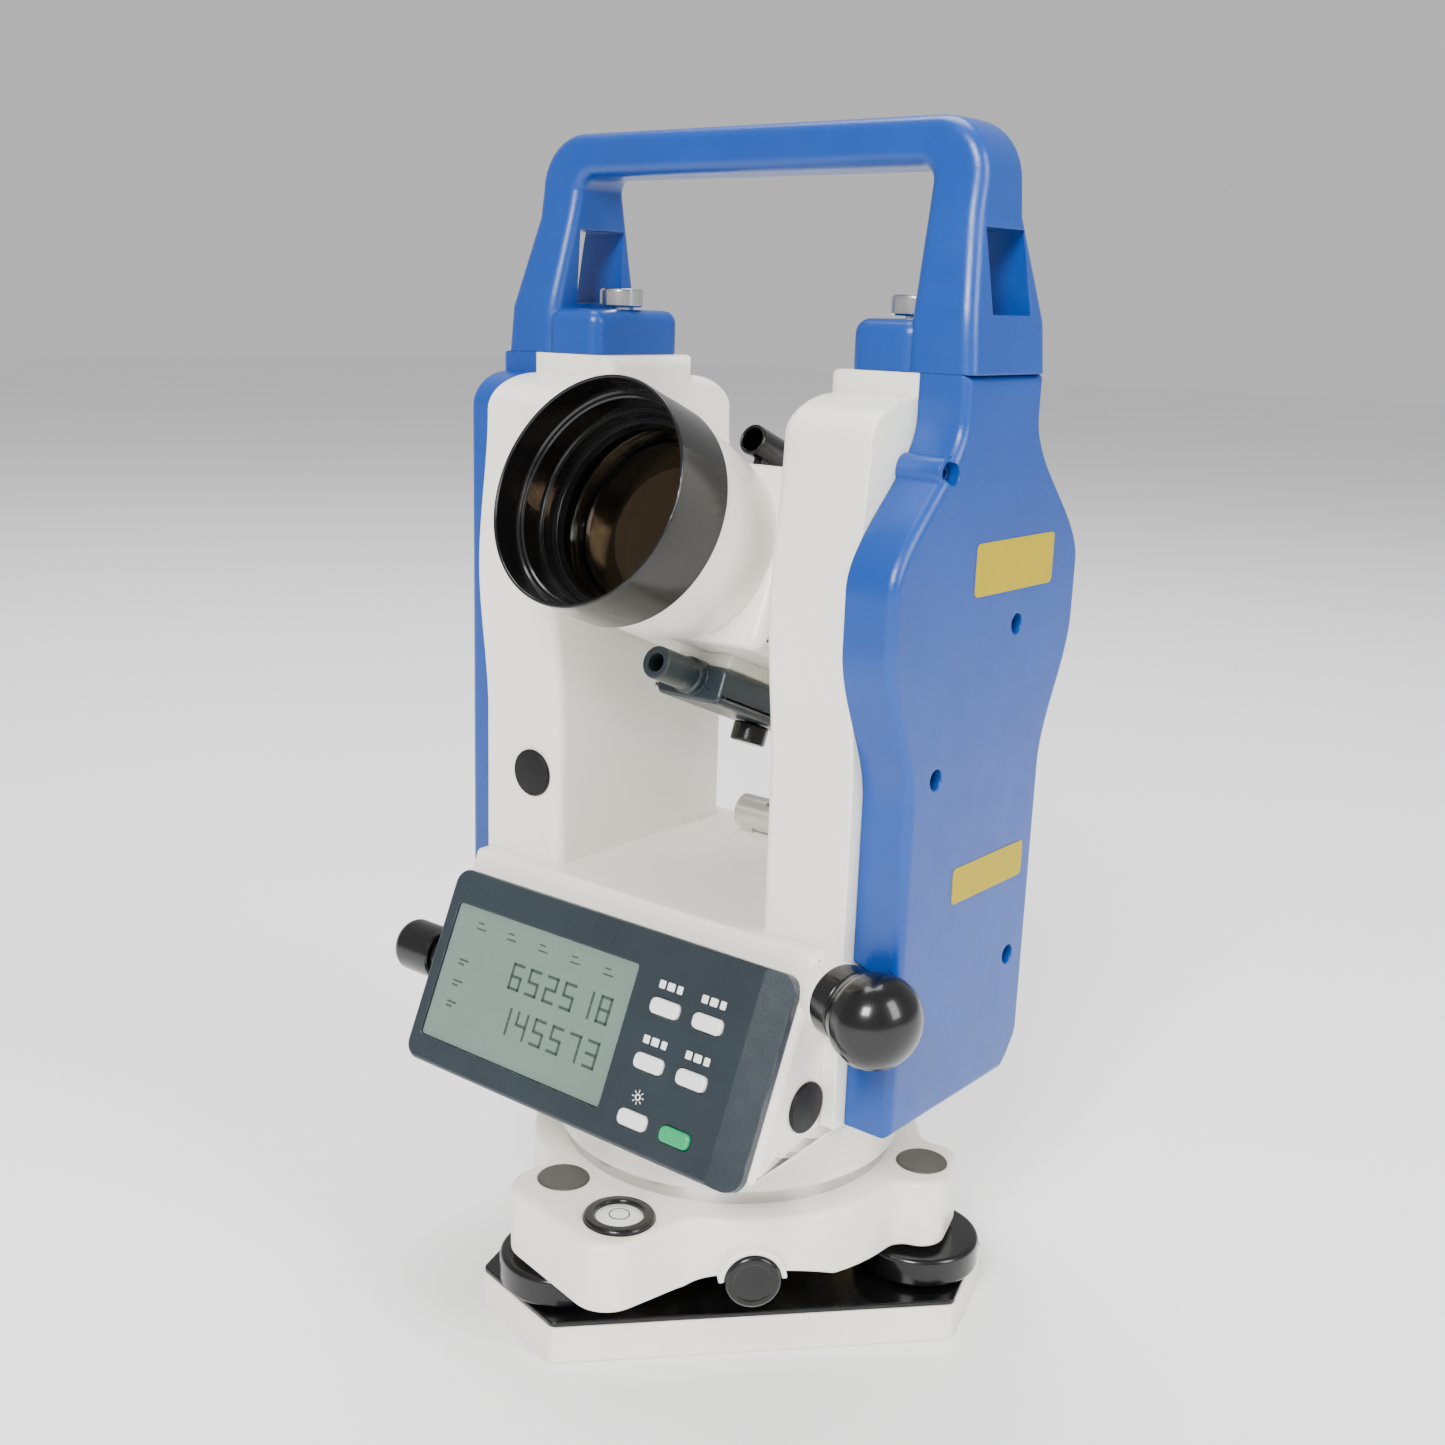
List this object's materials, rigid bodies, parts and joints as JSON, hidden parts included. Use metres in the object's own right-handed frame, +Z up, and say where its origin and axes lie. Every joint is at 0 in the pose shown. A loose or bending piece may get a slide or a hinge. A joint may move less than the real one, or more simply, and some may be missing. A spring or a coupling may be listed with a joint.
{
  "type": "surveying theodolite",
  "caption": "Electronic surveying theodolite: tilting telescope between two standards with a carrying handle, sloping display panel and a three-screw levelling base.",
  "frame": {"origin": "on the vertical axis, at the bottom face of the base plate, at the mouth of the tripod thread", "axes": "+Z up along the vertical axis; +X to the right as one faces the display; -Y is the side with the display and, at rest, the objective; the tilting axis runs along X at 206 mm height"},
  "size_m": [0.1723, 0.1509, 0.32],
  "materials": {
    "cream_paint": "satin",
    "blue_paint": "satin",
    "blue_plastic": "satin",
    "slate_plastic": "fine textured",
    "black_plastic": "gloss",
    "black_anodised": "semi-gloss",
    "black_rubber": "matt",
    "grey_cap": "matt",
    "display_glass": "clear",
    "coated_glass": "coated",
    "clear_glass": "clear",
    "key_white": "matt",
    "key_green": "matt",
    "steel": "turned",
    "spring_steel": "blackened",
    "brass": "turned",
    "nickel": "knurled",
    "board": "solder resist",
    "label_yellow": "printed film"
  },
  "bodies": {
    "base": {"base_plate": "cream_paint", "spring_plate": "spring_steel", "spring_plate_screws": "steel"},
    "foot_screw_a": {"foot_screw_a": "black_anodised"},
    "foot_screw_b": {"foot_screw_b": "black_anodised"},
    "foot_screw_c": {"foot_screw_c": "black_anodised"},
    "head": {"levelling_head": "cream_paint", "foot_screw_bushes": "brass", "foot_screw_caps": "grey_cap", "circular_level_cup": "black_anodised", "circular_level_vial": "clear_glass", "centring_flange": "steel", "axis_sleeve": "steel", "horizontal_circle": "clear_glass"},
    "lock_ring": {"lock_ring": "brass"},
    "lock_knob": {"lock_knob": "black_plastic"},
    "alidade": {"axis_spindle": "steel", "alidade_frame": "cream_paint", "right_cover": "blue_paint", "left_cover": "blue_paint", "cover_screws": "steel", "display_bezel": "slate_plastic", "display_glass": "display_glass", "display_board": "board", "rear_panel": "slate_plastic", "plate_level": "nickel", "plate_level_vial": "clear_glass", "side_plugs": "black_rubber", "side_labels": "label_yellow", "handle": "blue_plastic", "trunnion_bearings": "steel", "plummet_tube": "black_anodised"},
    "handle_screw_left": {"handle_screw_left": "nickel"},
    "handle_screw_right": {"handle_screw_right": "nickel"},
    "plummet_ring": {"plummet_ring": "black_plastic"},
    "battery": {"battery_pack": "blue_plastic"},
    "battery_latch": {"battery_latch": "black_plastic"},
    "key_1": {"key_1": "key_white"},
    "key_2": {"key_2": "key_white"},
    "key_3": {"key_3": "key_white"},
    "key_4": {"key_4": "key_white"},
    "key_5": {"key_5": "key_white"},
    "power_key": {"power_key": "key_green"},
    "horizontal_clamp": {"horizontal_clamp": "black_plastic"},
    "horizontal_tangent": {"horizontal_tangent": "black_plastic"},
    "vertical_clamp": {"vertical_clamp_collar": "black_plastic"},
    "vertical_tangent": {"vertical_tangent": "black_plastic"},
    "telescope": {"telescope_tube": "cream_paint", "trunnion_axles": "steel", "vertical_circle": "clear_glass", "objective_hood": "black_plastic", "objective_lens": "coated_glass", "ring_sight": "black_anodised", "pointer_unit": "slate_plastic", "reticle": "clear_glass"},
    "pointer_knob": {"pointer_knob": "black_plastic"},
    "focus_ring": {"focus_ring": "black_rubber"},
    "focus_lens": {"focus_lens": "coated_glass"},
    "eyepiece": {"eyepiece_ring": "black_plastic", "eyepiece_lens": "coated_glass"}
  },
  "joints": [
    {"name": "foot_screw_a_turn", "type": "hinge", "parent": "base", "child": "foot_screw_a", "pos_m": [-0.01218, -0.05732, 0.0085], "axis": [0, 0, 1], "range_deg": [-720, 720]},
    {"name": "foot_screw_b_turn", "type": "hinge", "parent": "base", "child": "foot_screw_b", "pos_m": [0.05573, 0.01811, 0.0085], "axis": [0, 0, 1], "range_deg": [-720, 720]},
    {"name": "foot_screw_c_turn", "type": "hinge", "parent": "base", "child": "foot_screw_c", "pos_m": [-0.04355, 0.03921, 0.0085], "axis": [0, 0, 1], "range_deg": [-720, 720]},
    {"name": "head_lift", "type": "slide", "parent": "base", "child": "head", "axis": [0, 0, 1], "range_m": [-0.0015, 0.0015]},
    {"name": "lock_knob_turn", "type": "hinge", "parent": "head", "child": "lock_knob", "pos_m": [0, 0, 0.027], "axis": [0.7108, -0.7034, 0], "range_deg": [0, 180]},
    {"name": "lock_ring_turn", "type": "hinge", "parent": "head", "child": "lock_ring", "pos_m": [0, 0, 0.032], "axis": [0, 0, 1], "range_deg": [0, 15.01]},
    {"name": "alidade_turn", "type": "hinge", "parent": "head", "child": "alidade", "pos_m": [0, 0, 0.06], "axis": [0, 0, 1], "continuous": true},
    {"name": "telescope_turn", "type": "hinge", "parent": "alidade", "child": "telescope", "pos_m": [0, 0, 0.206], "axis": [1, 0, 0], "continuous": true},
    {"name": "focus_ring_turn", "type": "hinge", "parent": "telescope", "child": "focus_ring", "pos_m": [0, 0.0408, 0.18952], "axis": [0, -0.9272, 0.3746], "range_deg": [-270, 270]},
    {"name": "focus_lens_slide", "type": "slide", "parent": "telescope", "child": "focus_lens", "axis": [0, -0.9272, 0.3746], "range_m": [-0.01, 0.01]},
    {"name": "eyepiece_turn", "type": "hinge", "parent": "telescope", "child": "eyepiece", "pos_m": [0, 0.05749, 0.18277], "axis": [0, -0.9272, 0.3746], "range_deg": [-180, 180]},
    {"name": "pointer_knob_turn", "type": "hinge", "parent": "telescope", "child": "pointer_knob", "pos_m": [0, 0.00356, 0.16142], "axis": [0, -0.3746, -0.9272], "range_deg": [0, 270]},
    {"name": "horizontal_clamp_turn", "type": "hinge", "parent": "alidade", "child": "horizontal_clamp", "pos_m": [0.06546, -0.03958, 0.112], "axis": [0.9397, -0.342, 0], "range_deg": [0, 90]},
    {"name": "horizontal_tangent_turn", "type": "hinge", "parent": "alidade", "child": "horizontal_tangent", "pos_m": [0.07579, -0.04334, 0.112], "axis": [0.9397, -0.342, 0], "range_deg": [-1080, 1080]},
    {"name": "vertical_clamp_turn", "type": "hinge", "parent": "alidade", "child": "vertical_clamp", "pos_m": [0.0485, 0.04, 0.15], "axis": [0, 1, 0], "range_deg": [0, 90]},
    {"name": "vertical_tangent_turn", "type": "hinge", "parent": "alidade", "child": "vertical_tangent", "pos_m": [0.0485, 0.05, 0.15], "axis": [0, 1, 0], "range_deg": [-1080, 1080]},
    {"name": "plummet_focus_turn", "type": "hinge", "parent": "alidade", "child": "plummet_ring", "pos_m": [-0.078, -0.0475, 0.0895], "axis": [-1, 0, 0], "range_deg": [-180, 180]},
    {"name": "key_1_press", "type": "slide", "parent": "alidade", "child": "key_1", "axis": [0, 0.915, -0.4035], "range_m": [0, 0.0008], "stiffness_N_per_m": 1200, "springref_m": -0.0003},
    {"name": "key_2_press", "type": "slide", "parent": "alidade", "child": "key_2", "axis": [0, 0.915, -0.4035], "range_m": [0, 0.0008], "stiffness_N_per_m": 1200, "springref_m": -0.0003},
    {"name": "key_3_press", "type": "slide", "parent": "alidade", "child": "key_3", "axis": [0, 0.915, -0.4035], "range_m": [0, 0.0008], "stiffness_N_per_m": 1200, "springref_m": -0.0003},
    {"name": "key_4_press", "type": "slide", "parent": "alidade", "child": "key_4", "axis": [0, 0.915, -0.4035], "range_m": [0, 0.0008], "stiffness_N_per_m": 1200, "springref_m": -0.0003},
    {"name": "key_5_press", "type": "slide", "parent": "alidade", "child": "key_5", "axis": [0, 0.915, -0.4035], "range_m": [0, 0.0008], "stiffness_N_per_m": 1200, "springref_m": -0.0003},
    {"name": "power_key_press", "type": "slide", "parent": "alidade", "child": "power_key", "axis": [0, 0.915, -0.4035], "range_m": [0, 0.0008], "stiffness_N_per_m": 1200, "springref_m": -0.0003},
    {"name": "battery_release", "type": "slide", "parent": "alidade", "child": "battery", "axis": [-1, 0, 0], "range_m": [0, 0.03]},
    {"name": "battery_latch_press", "type": "slide", "parent": "alidade", "child": "battery_latch", "axis": [0, 0, -1], "range_m": [0, 0.003], "stiffness_N_per_m": 800, "springref_m": -0.0005},
    {"name": "handle_screw_left_turn", "type": "hinge", "parent": "alidade", "child": "handle_screw_left", "pos_m": [-0.048, 0, 0.27], "axis": [0, 0, 1], "range_deg": [0, 1080]},
    {"name": "handle_screw_right_turn", "type": "hinge", "parent": "alidade", "child": "handle_screw_right", "pos_m": [0.048, 0, 0.27], "axis": [0, 0, 1], "range_deg": [0, 1080]}
  ],
  "couplings": [
    {"joint": "foot_screw_a_turn", "follows": "head_lift", "rad_per_m": -8370},
    {"joint": "foot_screw_b_turn", "follows": "head_lift", "rad_per_m": -8370},
    {"joint": "foot_screw_c_turn", "follows": "head_lift", "rad_per_m": -8370},
    {"joint": "lock_ring_turn", "follows": "lock_knob_turn", "ratio": 0.083333},
    {"joint": "focus_ring_turn", "follows": "focus_lens_slide", "rad_per_m": 471}
  ]
}
